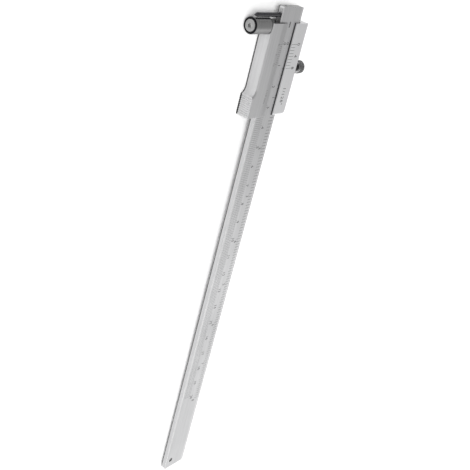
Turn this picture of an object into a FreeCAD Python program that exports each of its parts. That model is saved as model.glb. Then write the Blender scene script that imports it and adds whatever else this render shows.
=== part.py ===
import FreeCAD, Part
import os
import Sketcher

# Vernier marking gauge: a graduated beam with a scribing needle near its top end,
# and a slider with a guide roller, a thumb rest, a gib and a knurled lock screw.
# Lengths are in mm. X runs along the beam from the needle towards the far end,
# Y runs across it towards the lock screw, Z stands up out of the scale face.
# The origin is the middle of the slider's back face, which the gauge lies on.

os.makedirs("parts", exist_ok=True)
doc = FreeCAD.newDocument("marking_gauge")
UP = FreeCAD.Vector(0, 0, 1)

# Sizes

SIZES = (
    # beam
    ("beam_length", 266.0),
    ("beam_width", 15.0),
    ("beam_thickness", 3.0),
    ("beam_edge", 0.2),
    ("beam_bevel_width", 1.3),
    ("beam_bevel_drop", 0.3),
    ("beam_corner_radius", 0.9),
    # slider
    ("slider_length", 43.3),
    ("slider_width", 26.0),
    ("slider_corner_radius", 2.0),
    ("front_edge_radius", 0.9),
    ("back_edge_radius", 0.6),
    ("floor_thickness", 3.2),
    ("strip_thickness", 0.95),
    ("metric_strip_edge", 2.0),
    ("metric_bevel_width", 4.25),
    ("metric_strip_lip", 0.25),
    ("inch_strip_edge", 3.9),
    # thumb rest
    ("thumb_length", 9.9),
    ("thumb_rise", 1.75),
    ("thumb_root", 1.0),
    ("flare_radius", 4.2),
    ("ridge_pitch", 0.98),
    ("ridge_count", 9),
    ("ridge_depth", 0.25),
    # fits
    ("slide_clearance", 0.05),
    ("running_clearance", 0.03),
    ("screw_clearance", 0.05),
    ("end_float", 0.05),
    ("gib_clearance", 0.1),
    ("thread_edge", 0.3),
    # gib
    ("gib_thickness", 1.0),
    ("gib_height", 2.5),
    ("gib_end_gap", 0.65),
    ("gib_edge", 0.15),
    ("gib_screw_diameter", 2.5),
    ("gib_screw_sink", 0.5),
    ("gib_screw_share", 0.3),
    ("gib_slot_width", 0.5),
    ("gib_slot_depth", 0.8),
    ("dog_diameter", 1.4),
    ("dog_length", 0.5),
    ("dog_clearance", 0.05),
    # lock screw
    ("lock_x", -0.45),
    ("lock_gap", 0.2),
    ("lock_tip_edge", 0.4),
    ("lock_diameter", 3.0),
    ("lock_neck_diameter", 4.0),
    ("lock_neck_length", 2.5),
    ("lock_head_diameter", 6.15),
    ("lock_head_length", 3.05),
    ("lock_head_edge", 0.35),
    ("knurl_count", 30),
    ("knurl_depth", 0.22),
    ("knurl_width", 0.5),
    # guide roller
    ("roller_diameter", 7.45),
    ("roller_length", 11.6),
    ("roller_edge", 0.5),
    ("roller_from_end", 1.75),
    ("roller_height", 3.85),
    ("bush_diameter", 4.5),
    ("bush_length", 3.0),
    ("axle_diameter", 3.0),
    ("axle_thread_diameter", 2.0),
    ("axle_thread_length", 4.7),
    ("axle_head_diameter", 5.5),
    ("axle_head_length", 1.5),
    ("axle_head_edge", 0.25),
    ("axle_socket", 2.0),
    ("axle_socket_depth", 1.0),
    ("head_recess_gap", 0.2),
    ("washer_diameter", 5.0),
    ("washer_thickness", 0.3),
    # scribing needle
    ("needle_diameter", 2.0),
    ("needle_reach", 17.65),
    ("needle_depth", 6.4),
    ("needle_point_length", 2.3),
    ("needle_from_end", 3.85),
    ("needle_clearance", 0.02),
    ("needle_end_edge", 0.2),
    ("rest_reading", 1.2),
    ("needle_screw_inset", 4.0),
    ("needle_screw_diameter", 2.0),
    ("needle_screw_sink", 0.3),
    ("needle_screw_socket", 0.9),
    ("needle_screw_socket_depth", 0.9),
    # end stop
    ("stop_from_end", 5.2),
    ("stop_inset", 3.7),
    ("stop_diameter", 2.5),
    ("stop_sink", 0.4),
    ("stop_reach", 1.2),
    ("stop_slot_width", 0.5),
    ("stop_slot_depth", 0.7),
)

# Positions that follow from the sizes above
DERIVED = (
    ("slider_half", "slider_length / 2"),
    ("side_y", "slider_width / 2"),
    ("beam_half", "beam_width / 2"),
    ("beam_back_z", "floor_thickness + slide_clearance"),
    ("beam_middle_z", "beam_back_z + beam_thickness / 2"),
    ("beam_face_z", "beam_back_z + beam_thickness"),
    ("strip_z", "beam_face_z + slide_clearance"),
    ("slider_height", "strip_z + strip_thickness"),
    ("slot_left", "beam_half + slide_clearance"),
    ("slot_right", "beam_half + slide_clearance + gib_thickness + gib_clearance"),
    ("gib_length", "slider_length - 2 * gib_end_gap"),
    ("gib_screw_reach", "slider_length * gib_screw_share"),
    ("roller_x", "roller_from_end - slider_half"),
    ("roller_radius", "roller_diameter / 2"),
    ("needle_x", "roller_x - roller_radius - rest_reading"),
    ("beam_start", "needle_x - needle_from_end"),
    ("roller_near_y", "side_y + washer_thickness + end_float"),
    ("roller_far_y", "roller_near_y + roller_length"),
    ("head_under_y", "roller_far_y - axle_head_length"),
    ("bush_far_y", "head_under_y - end_float"),
    ("thumb_y", "side_y + thumb_rise"),
    ("thumb_x", "slider_half - thumb_length"),
    ("flare_run", "sqrt(2 * flare_radius * thumb_rise - thumb_rise ^ 2)"),
    ("flare_x", "thumb_x - flare_run"),
    ("stop_x", "beam_start + beam_length - stop_from_end"),
)

sheet = doc.addObject("Spreadsheet::Sheet", "Sizes")
for line, (alias, number) in enumerate(SIZES, start=1):
    sheet.set("A%d" % line, alias)
    sheet.set("B%d" % line, str(number))
    sheet.setAlias("B%d" % line, alias)
for line, (alias, formula) in enumerate(DERIVED, start=len(SIZES) + 1):
    sheet.set("A%d" % line, alias)
    sheet.set("B%d" % line, "=" + formula)
    sheet.setAlias("B%d" % line, alias)
doc.recompute()

ALIASES = {alias for alias, _ in SIZES + DERIVED}


def bound(formula):
    """Return the formula with each size name pointing at the sheet."""
    words = formula.replace("(", "( ").replace(")", " )").split()
    return " ".join("Sizes." + word if word in ALIASES else word for word in words)


def value(formula):
    """Return the present number of a formula."""
    result = sheet.evalExpression(bound(formula))
    return float(getattr(result, "Value", result))


# Helpers for sketches and features

def new_body(name):
    """Start a piece of the gauge."""
    body = doc.addObject("PartDesign::Body", name)
    body.Label = name
    body.AllowCompound = True
    return body


def datum(body, role):
    """Find a plane or an axis of the piece's own origin."""
    return [item for item in body.Origin.OriginFeatures if item.Role == role][0]


def new_sketch(body, name, role, offset=None):
    """Lay a sketch on an origin plane, moved along its normal."""
    sketch = body.newObject("Sketcher::SketchObject", name)
    sketch.AttachmentSupport = [(datum(body, role), "")]
    sketch.MapMode = "FlatFace"
    if offset is not None:
        sketch.setExpression("AttachmentOffset.Base.z", bound(offset))
    return sketch


def locate(sketch, index, point, x, y):
    """Tie a point of the sketch to two formulas."""
    for kind, axis, formula in (("DistanceX", -2, x), ("DistanceY", -1, y)):
        if formula == "0":
            sketch.addConstraint(Sketcher.Constraint("PointOnObject", index, point, axis))
        else:
            tie = Sketcher.Constraint(kind, -1, 1, index, point, value(formula))
            number = sketch.addConstraint(tie)
            sketch.setExpression("Constraints[%d]" % number, bound(formula))


def outline(sketch, corners):
    """Draw a closed line through corners given as pairs of formulas."""
    places = [FreeCAD.Vector(value(x), value(y), 0) for x, y in corners]
    first = sketch.GeometryCount
    count = len(places)
    for index in range(count):
        line = Part.LineSegment(places[index], places[(index + 1) % count])
        sketch.addGeometry(line, False)
    for index in range(count):
        after = first + (index + 1) % count
        sketch.addConstraint(Sketcher.Constraint("Coincident", first + index, 2, after, 1))
    for index, (x, y) in enumerate(corners):
        locate(sketch, first + index, 1, x, y)


def circle(sketch, x, y, diameter):
    """Draw a circle from formulas for its centre and diameter."""
    centre = FreeCAD.Vector(value(x), value(y), 0)
    radius = value(diameter) / 2
    index = sketch.addGeometry(Part.Circle(centre, UP, radius), False)
    locate(sketch, index, 3, x, y)
    number = sketch.addConstraint(Sketcher.Constraint("Diameter", index, 2 * radius))
    sketch.setExpression("Constraints[%d]" % number, bound(diameter))


def rectangle(sketch, half_x, half_y):
    """Draw a rectangle round the sketch's origin."""
    outline(sketch, (
        ("-1 * " + half_x, "-1 * " + half_y),
        (half_x, "-1 * " + half_y),
        (half_x, half_y),
        ("-1 * " + half_x, half_y),
    ))


def hexagon(sketch, across):
    """Draw a hexagon round the sketch's origin from its width across flats."""
    half = across + " / 2"
    low = across + " * sqrt(3) / 6"
    high = across + " * sqrt(3) / 3"
    outline(sketch, (
        (half, low),
        ("0", high),
        ("-1 * " + half, low),
        ("-1 * " + half, "-1 * " + low),
        ("0", "-1 * " + high),
        (half, "-1 * " + low),
    ))


def pad(body, sketch, name, length):
    """Raise a sketch along its normal."""
    feature = body.newObject("PartDesign::Pad", name)
    feature.Profile = sketch
    feature.setExpression("Length", bound(length))
    body.Tip = feature
    doc.recompute()
    return feature


def pocket(body, sketch, name, length, along_normal=False):
    """Cut a sketch into the piece."""
    feature = body.newObject("PartDesign::Pocket", name)
    feature.Profile = sketch
    feature.Reversed = along_normal
    feature.setExpression("Length", bound(length))
    body.Tip = feature
    doc.recompute()
    return feature


def turn(body, sketch, name, axis):
    """Turn a sketch once round one of its axes."""
    feature = body.newObject("PartDesign::Revolution", name)
    feature.Profile = sketch
    feature.ReferenceAxis = (sketch, [axis])
    feature.Angle = 360
    body.Tip = feature
    doc.recompute()
    return feature


def repeat_along(body, original, name, sketch, length, count):
    """Repeat a feature along the sketch's first axis."""
    feature = body.newObject("PartDesign::LinearPattern", name)
    feature.Originals = [original]
    feature.Direction = (sketch, ["H_Axis"])
    feature.setExpression("Length", bound(length))
    feature.setExpression("Occurrences", bound(count))
    body.Tip = feature
    doc.recompute()
    return feature


def repeat_round(body, original, name, role, count):
    """Repeat a feature evenly round an axis of the piece."""
    feature = body.newObject("PartDesign::PolarPattern", name)
    feature.Originals = [original]
    feature.Axis = (datum(body, role), [""])
    feature.Angle = 360
    feature.setExpression("Occurrences", bound(count))
    body.Tip = feature
    doc.recompute()
    return feature


def soften(body, kind, name, base, size, wanted):
    """Round or chamfer the edges that the test picks."""
    edges = []
    for number, edge in enumerate(base.Shape.Edges, start=1):
        if wanted(edge):
            edges.append("Edge%d" % number)
    feature = body.newObject("PartDesign::" + kind, name)
    feature.Base = (base, edges)
    measure = "Radius" if kind == "Fillet" else "Size"
    feature.setExpression(measure, bound(size))
    body.Tip = feature
    doc.recompute()
    return feature


def on_line(edge, **places):
    """Tell whether both ends of an edge lie at the given coordinates."""
    for vertex in edge.Vertexes:
        for axis, place in places.items():
            if abs(getattr(vertex, axis) - place) > 0.01:
                return False
    return len(edge.Vertexes) == 2


def seat(body, x, z):
    """Move a turned piece onto its own axis."""
    body.setExpression("Placement.Base.x", bound(x))
    body.setExpression("Placement.Base.z", bound(z))


# Beam: a flat bar with one bevelled front edge, a bore for the needle,
# a tapped hole for its screw in the top end and one for the end stop

beam = new_body("beam")
section = new_sketch(beam, "beam_section", "YZ_Plane", "beam_start")
outline(section, (
    ("beam_edge - beam_half", "beam_back_z"),
    ("beam_half - beam_edge", "beam_back_z"),
    ("beam_half", "beam_back_z + beam_edge"),
    ("beam_half", "beam_face_z - beam_bevel_drop"),
    ("beam_half - beam_bevel_width", "beam_face_z"),
    ("beam_edge - beam_half", "beam_face_z"),
    ("-1 * beam_half", "beam_face_z - beam_edge"),
    ("-1 * beam_half", "beam_back_z + beam_edge"),
))
bar = pad(beam, section, "beam_bar", "beam_length")

needle_mark = new_sketch(beam, "needle_bore_circle", "XZ_Plane", "beam_half")
circle(needle_mark, "needle_x", "beam_middle_z", "needle_diameter + 2 * needle_clearance")
pocket(beam, needle_mark, "needle_bore", "needle_depth + needle_end_edge")

screw_mark = new_sketch(beam, "needle_screw_circle", "YZ_Plane", "beam_start")
circle(screw_mark, "needle_screw_inset - beam_half", "beam_middle_z", "needle_screw_diameter")
pocket(beam, screw_mark, "needle_screw_hole", "needle_from_end", along_normal=True)

stop_mark = new_sketch(beam, "stop_circle", "XY_Plane", "beam_face_z")
circle(stop_mark, "stop_x", "stop_inset - beam_half", "stop_diameter")
holes = pocket(beam, stop_mark, "stop_hole", "beam_thickness")

half = value("beam_half")
left_end = value("beam_start")
right_end = value("beam_start + beam_length")
soften(
    beam, "Fillet", "beam_corners", holes, "beam_corner_radius",
    lambda edge: any(
        on_line(edge, X=end, Y=side)
        for end in (left_end, right_end)
        for side in (-half, half)
    ),
)

# Scribing needle: a hard pin with a turned cone point, bored into the beam's edge

scriber_needle = new_body("scriber_needle")
profile = new_sketch(scriber_needle, "needle_profile", "XY_Plane")
outline(profile, (
    ("0", "-1 * beam_half - needle_reach"),
    ("needle_diameter / 2", "needle_point_length - beam_half - needle_reach"),
    ("needle_diameter / 2", "needle_depth - beam_half - needle_end_edge"),
    ("needle_diameter / 2 - needle_end_edge", "needle_depth - beam_half"),
    ("0", "needle_depth - beam_half"),
))
turn(scriber_needle, profile, "needle_turned", "V_Axis")
seat(scriber_needle, "needle_x", "beam_middle_z")

# Needle screw: a headless screw in the beam's top end that clamps the needle

needle_screw = new_body("needle_screw")
profile = new_sketch(needle_screw, "needle_screw_profile", "XY_Plane")
needle_side = "needle_x - needle_diameter / 2 - needle_clearance"
outline(profile, (
    ("beam_start + needle_screw_sink", "0"),
    ("beam_start + needle_screw_sink", "needle_screw_diameter / 2"),
    (needle_side + " - thread_edge", "needle_screw_diameter / 2"),
    (needle_side, "needle_screw_diameter / 2 - thread_edge"),
    (needle_side, "0"),
))
turn(needle_screw, profile, "needle_screw_turned", "H_Axis")
key = new_sketch(needle_screw, "needle_screw_key", "YZ_Plane", "beam_start + needle_screw_sink")
hexagon(key, "needle_screw_socket")
pocket(needle_screw, key, "needle_screw_hexagon", "needle_screw_socket_depth", along_normal=True)
needle_screw.setExpression("Placement.Base.y", bound("needle_screw_inset - beam_half"))
needle_screw.setExpression("Placement.Base.z", bound("beam_middle_z"))

# End stop: a slotted screw through the beam that stands out of its back

stop_screw = new_body("stop_screw")
profile = new_sketch(stop_screw, "stop_profile", "XZ_Plane")
outline(profile, (
    ("0", "beam_back_z - stop_reach"),
    ("stop_diameter / 2 - thread_edge", "beam_back_z - stop_reach"),
    ("stop_diameter / 2", "beam_back_z - stop_reach + thread_edge"),
    ("stop_diameter / 2", "beam_face_z - stop_sink"),
    ("0", "beam_face_z - stop_sink"),
))
turn(stop_screw, profile, "stop_turned", "V_Axis")
slot = new_sketch(stop_screw, "stop_slot_shape", "XY_Plane", "beam_face_z - stop_sink")
rectangle(slot, "stop_diameter", "stop_slot_width / 2")
pocket(stop_screw, slot, "stop_slot", "stop_slot_depth")
stop_screw.setExpression("Placement.Base.x", bound("stop_x"))
stop_screw.setExpression("Placement.Base.y", bound("stop_inset - beam_half"))

# Slider: one block with a slot for the beam and the gib, open in front between
# the bevelled metric strip and the square-edged inch strip

slider = new_body("slider")
section = new_sketch(slider, "slider_section", "YZ_Plane", "-1 * slider_half")
outline(section, (
    ("-1 * side_y", "0"),
    ("side_y", "0"),
    ("side_y", "slider_height"),
    ("inch_strip_edge", "slider_height"),
    ("inch_strip_edge", "strip_z"),
    ("slot_right", "strip_z"),
    ("slot_right", "floor_thickness"),
    ("-1 * slot_left", "floor_thickness"),
    ("-1 * slot_left", "strip_z"),
    ("-1 * metric_strip_edge", "strip_z"),
    ("-1 * metric_strip_edge", "strip_z + metric_strip_lip"),
    ("-1 * metric_strip_edge - metric_bevel_width", "slider_height"),
    ("-1 * side_y", "slider_height"),
))
pad(slider, section, "slider_block", "slider_length")

# The thumb rest flares out of the side in a hollow curve to a flat pad
rest = new_sketch(slider, "thumb_rest_shape", "XY_Plane")
rest_corners = (
    ("thumb_x", "-1 * thumb_y"),
    ("flare_x", "-1 * side_y"),
    ("flare_x", "thumb_root - side_y"),
    ("slider_half", "thumb_root - side_y"),
    ("slider_half", "-1 * thumb_y"),
)
corners = [FreeCAD.Vector(value(x), value(y), 0) for x, y in rest_corners]
flare_centre = FreeCAD.Vector(value("flare_x"), value("-1 * side_y - flare_radius"), 0)
flare = Part.Circle(flare_centre, UP, value("flare_radius"))
flare_ends = (flare.parameter(corners[0]), flare.parameter(corners[1]))
rest.addGeometry(Part.ArcOfCircle(flare, *flare_ends), False)
for index in range(1, 5):
    side = Part.LineSegment(corners[index], corners[(index + 1) % 5])
    rest.addGeometry(side, False)
for index in range(5):
    after = (index + 1) % 5
    rest.addConstraint(Sketcher.Constraint("Coincident", index, 2, after, 1))
for index, (x, y) in enumerate(rest_corners):
    locate(rest, index, 1, x, y)
number = rest.addConstraint(Sketcher.Constraint("Radius", 0, value("flare_radius")))
rest.setExpression("Constraints[%d]" % number, bound("flare_radius"))
pad(slider, rest, "thumb_rest", "slider_height")

# Grooves leave ridges across the pad for the thumb
groove = new_sketch(slider, "ridge_groove_shape", "XY_Plane")
outline(groove, (
    ("thumb_x + 0.6 * ridge_pitch", "-1 * thumb_y - 0.1"),
    ("thumb_x + 1.4 * ridge_pitch", "-1 * thumb_y - 0.1"),
    ("thumb_x + ridge_pitch", "ridge_depth - thumb_y"),
))
cut = pocket(slider, groove, "ridge_groove", "slider_height", along_normal=True)
ridge_run = "ridge_pitch * ( ridge_count - 1 )"
repeat_along(slider, cut, "ridges", groove, ridge_run, "ridge_count")

# Holes for the roller's axle, the lock screw and the two gib screws
axle_mark = new_sketch(slider, "axle_circle", "XZ_Plane", "side_y")
circle(axle_mark, "roller_x", "roller_height", "axle_thread_diameter")
pocket(slider, axle_mark, "axle_hole", "side_y - slot_left")

lock_mark = new_sketch(slider, "lock_circle", "XZ_Plane", "-1 * side_y")
circle(lock_mark, "lock_x", "beam_middle_z", "lock_diameter + 2 * screw_clearance")
pocket(slider, lock_mark, "lock_hole", "side_y - slot_right", along_normal=True)

gib_mark = new_sketch(slider, "gib_screw_circles", "XZ_Plane", "-1 * side_y")
circle(gib_mark, "lock_x - gib_screw_reach", "beam_middle_z", "gib_screw_diameter")
circle(gib_mark, "lock_x + gib_screw_reach", "beam_middle_z", "gib_screw_diameter")
drilled = pocket(slider, gib_mark, "gib_screw_holes", "side_y - slot_right", along_normal=True)

side = value("side_y")
reach = value("slider_half")
height = value("slider_height")
long_edge = value("slider_length / 3")
rounded = soften(
    slider, "Fillet", "lower_corner", drilled, "slider_corner_radius",
    lambda edge: on_line(edge, X=reach, Y=side),
)
rounded = soften(
    slider, "Fillet", "front_edges", rounded, "front_edge_radius",
    lambda edge: edge.Length > long_edge and (
        on_line(edge, Y=side, Z=height)
        or on_line(edge, Y=-side, Z=height)
    ),
)
soften(
    slider, "Fillet", "back_edges", rounded, "back_edge_radius",
    lambda edge: edge.Length > long_edge and (
        on_line(edge, Y=side, Z=0)
        or on_line(edge, Y=-side, Z=0)
    ),
)

# Gib: a thin strip between the beam's edge and the slider, held by two pockets

gib_strip = new_body("gib_strip")
section = new_sketch(gib_strip, "gib_section", "YZ_Plane", "-1 * gib_length / 2")
near = "slot_left"
far = "slot_left + gib_thickness"
low = "beam_middle_z - gib_height / 2"
high = "beam_middle_z + gib_height / 2"
outline(section, (
    (near + " + gib_edge", low),
    (far + " - gib_edge", low),
    (far, low + " + gib_edge"),
    (far, high + " - gib_edge"),
    (far + " - gib_edge", high),
    (near + " + gib_edge", high),
    (near, high + " - gib_edge"),
    (near, low + " + gib_edge"),
))
pad(gib_strip, section, "gib_bar", "gib_length")
dimple = new_sketch(gib_strip, "gib_pocket_circles", "XZ_Plane", "-1 * ( " + far + " )")
for step in ("- gib_screw_reach", "+ gib_screw_reach"):
    circle(dimple, "lock_x " + step, "beam_middle_z", "dog_diameter + 2 * dog_clearance")
pocket(gib_strip, dimple, "gib_pockets", "dog_length", along_normal=True)

# Gib screws: two headless slotted screws with dog points

gib_screws = new_body("gib_screws")
profile = new_sketch(gib_screws, "gib_screw_profile", "XY_Plane")
dog_end = "slot_left + gib_thickness - dog_length + dog_clearance"
outline(profile, (
    ("0", dog_end),
    ("dog_diameter / 2", dog_end),
    ("dog_diameter / 2", "slot_right"),
    ("gib_screw_diameter / 2", "slot_right + thread_edge"),
    ("gib_screw_diameter / 2", "side_y - gib_screw_sink"),
    ("0", "side_y - gib_screw_sink"),
))
turned = turn(gib_screws, profile, "gib_screw_turned", "V_Axis")
slot = new_sketch(gib_screws, "gib_screw_slot_shape", "XZ_Plane", "gib_screw_sink - side_y")
rectangle(slot, "gib_screw_diameter", "gib_slot_width / 2")
slotted = pocket(gib_screws, slot, "gib_screw_slot", "gib_slot_depth", along_normal=True)
pair = gib_screws.newObject("PartDesign::LinearPattern", "gib_screw_pair")
pair.Originals = [turned, slotted]
pair.Direction = (profile, ["H_Axis"])
pair.setExpression("Length", bound("2 * gib_screw_reach"))
pair.Occurrences = 2
gib_screws.Tip = pair
seat(gib_screws, "lock_x - gib_screw_reach", "beam_middle_z")

# Lock screw: a thumb screw with a straight-knurled head

lock_screw = new_body("lock_screw")
profile = new_sketch(lock_screw, "lock_profile", "XY_Plane")
tip = "slot_left + gib_thickness + gib_clearance / 2"
neck = "side_y + lock_gap"
head = "side_y + lock_gap + lock_neck_length"
outline(profile, (
    ("0", tip),
    ("lock_diameter / 2 - lock_tip_edge", tip),
    ("lock_diameter / 2", tip + " + lock_tip_edge"),
    ("lock_diameter / 2", neck),
    ("lock_neck_diameter / 2", neck),
    ("lock_neck_diameter / 2", head),
    ("lock_head_diameter / 2 - lock_head_edge", head),
    ("lock_head_diameter / 2", head + " + lock_head_edge"),
    ("lock_head_diameter / 2", head + " + lock_head_length - lock_head_edge"),
    ("lock_head_diameter / 2 - lock_head_edge", head + " + lock_head_length"),
    ("0", head + " + lock_head_length"),
))
turn(lock_screw, profile, "lock_turned", "V_Axis")
knurl = new_sketch(lock_screw, "knurl_groove_shape", "XZ_Plane", "-1 * ( " + head + " )")
outline(knurl, (
    ("-1 * knurl_width / 2", "lock_head_diameter / 2 + 0.05"),
    ("0", "lock_head_diameter / 2 - knurl_depth"),
    ("knurl_width / 2", "lock_head_diameter / 2 + 0.05"),
))
groove = pocket(lock_screw, knurl, "knurl_groove", "lock_head_length")
repeat_round(lock_screw, groove, "knurl", "Y_Axis", "knurl_count")
seat(lock_screw, "lock_x", "beam_middle_z")

# Guide roller: a hard sleeve whose outer end is recessed for the axle's head

guide_roller = new_body("guide_roller")
profile = new_sketch(guide_roller, "roller_profile", "XY_Plane")
recess = "axle_head_diameter / 2 + head_recess_gap"
outline(profile, (
    ("bush_diameter / 2", "-1 * roller_near_y"),
    ("bush_diameter / 2", "-1 * bush_far_y"),
    (recess, "-1 * bush_far_y"),
    (recess, "-1 * roller_far_y"),
    ("roller_radius - roller_edge", "-1 * roller_far_y"),
    ("roller_radius", "roller_edge - roller_far_y"),
    ("roller_radius", "-1 * roller_near_y - roller_edge"),
    ("roller_radius - roller_edge", "-1 * roller_near_y"),
))
turn(guide_roller, profile, "roller_turned", "V_Axis")
seat(guide_roller, "roller_x", "roller_height")

# Roller bushes: one at each end of the sleeve, running on the axle

roller_bushes = new_body("roller_bushes")
profile = new_sketch(roller_bushes, "bush_profiles", "XY_Plane")
bore = "axle_diameter / 2 + running_clearance"
for first, last in (
    ("-1 * bush_far_y", "bush_length - bush_far_y"),
    ("-1 * roller_near_y - bush_length", "-1 * roller_near_y"),
):
    outline(profile, (
        (bore, first),
        ("bush_diameter / 2", first),
        ("bush_diameter / 2", last),
        (bore, last),
    ))
turn(roller_bushes, profile, "bushes_turned", "V_Axis")
seat(roller_bushes, "roller_x", "roller_height")

# Roller axle: a shoulder screw with a hexagon socket

roller_axle = new_body("roller_axle")
profile = new_sketch(roller_axle, "axle_profile", "XY_Plane")
outline(profile, (
    ("0", "-1 * roller_far_y"),
    ("axle_head_diameter / 2 - axle_head_edge", "-1 * roller_far_y"),
    ("axle_head_diameter / 2", "axle_head_edge - roller_far_y"),
    ("axle_head_diameter / 2", "-1 * head_under_y"),
    ("axle_diameter / 2", "-1 * head_under_y"),
    ("axle_diameter / 2", "-1 * side_y"),
    ("axle_thread_diameter / 2", "-1 * side_y"),
    ("axle_thread_diameter / 2", "axle_thread_length - side_y - thread_edge"),
    ("axle_thread_diameter / 2 - thread_edge", "axle_thread_length - side_y"),
    ("0", "axle_thread_length - side_y"),
))
turn(roller_axle, profile, "axle_turned", "V_Axis")
key = new_sketch(roller_axle, "axle_key", "XZ_Plane", "roller_far_y")
hexagon(key, "axle_socket")
pocket(roller_axle, key, "axle_hexagon", "axle_socket_depth")
seat(roller_axle, "roller_x", "roller_height")

# Roller washer: keeps the sleeve off the slider's side

roller_washer = new_body("roller_washer")
profile = new_sketch(roller_washer, "washer_profile", "XY_Plane")
washer_bore = "axle_diameter / 2 + screw_clearance"
outline(profile, (
    (washer_bore, "-1 * side_y"),
    (washer_bore, "-1 * side_y - washer_thickness"),
    ("washer_diameter / 2", "-1 * side_y - washer_thickness"),
    ("washer_diameter / 2", "-1 * side_y"),
))
turn(roller_washer, profile, "washer_turned", "V_Axis")
seat(roller_washer, "roller_x", "roller_height")

# Check every piece and write it

doc.recompute()
pieces = (
    beam,
    scriber_needle,
    needle_screw,
    stop_screw,
    slider,
    gib_strip,
    gib_screws,
    lock_screw,
    guide_roller,
    roller_bushes,
    roller_axle,
    roller_washer,
)
pairs = (gib_screws, roller_bushes)
for item in doc.Objects:
    if "Invalid" in item.State or "Error" in item.State:
        raise RuntimeError("%s is not valid: %s" % (item.Name, item.State))
for body in pieces:
    shape = body.Shape
    solids = 2 if body in pairs else 1
    if shape.isNull() or not shape.isValid():
        raise RuntimeError("%s has no valid shape" % body.Label)
    if len(shape.Solids) != solids:
        raise RuntimeError("%s has %d solids" % (body.Label, len(shape.Solids)))
    shape.exportStep("parts/%s.step" % body.Label)
    box = shape.BoundBox
    print("%-16s %8.1f mm3  X %7.2f %7.2f  Y %7.2f %7.2f  Z %6.2f %6.2f" % (
        body.Label, shape.Volume, box.XMin, box.XMax, box.YMin, box.YMax, box.ZMin, box.ZMax))
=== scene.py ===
"""Looks of a vernier marking gauge.

A flat steel beam with a metric and an inch scale carries a slider with two verniers,
a guide roller, a ridged thumb rest and a knurled lock screw. The solids come from the
frame. This script engraves the scales, numbers and verniers, gives every piece its
finish, and sets up floor, light and camera.
"""

import sys
import logging
import math
from dataclasses import dataclass
from enum import Enum

import bpy
from mathutils import Matrix, Vector


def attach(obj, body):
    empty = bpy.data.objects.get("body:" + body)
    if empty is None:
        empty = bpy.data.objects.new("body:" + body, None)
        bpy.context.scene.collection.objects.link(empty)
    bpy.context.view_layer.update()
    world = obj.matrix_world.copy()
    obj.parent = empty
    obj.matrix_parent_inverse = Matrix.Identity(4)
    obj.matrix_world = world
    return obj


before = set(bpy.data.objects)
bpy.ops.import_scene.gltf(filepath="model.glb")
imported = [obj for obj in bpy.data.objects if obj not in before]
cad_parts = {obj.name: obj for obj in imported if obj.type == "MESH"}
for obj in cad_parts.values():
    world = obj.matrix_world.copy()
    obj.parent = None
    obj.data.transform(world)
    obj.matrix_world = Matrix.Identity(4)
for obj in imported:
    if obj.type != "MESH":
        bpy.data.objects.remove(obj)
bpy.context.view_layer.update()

MM = 0.001
INCH = 25.4
LINE_DEPTH = 0.05
LINE_PROUD = 0.012
LINE_SINK = LINE_PROUD - LINE_DEPTH / 2
log = logging.getLogger("marking_gauge")

Triple = tuple[float, float, float]


class Body(Enum):
    """The moving groups of the gauge."""

    BEAM = "beam"
    SLIDER = "slider"
    ROLLER = "roller"
    LOCK_SCREW = "lock_screw"


class Grain(Enum):
    """Which way the fine machining lines run."""

    LENGTHWISE = "along the beam"
    TURNED = "round an axis along Y"


@dataclass(frozen=True)
class Socket:
    """One named input or output of a node group."""

    name: str
    kind: str
    default: float | Triple | None = None


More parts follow.
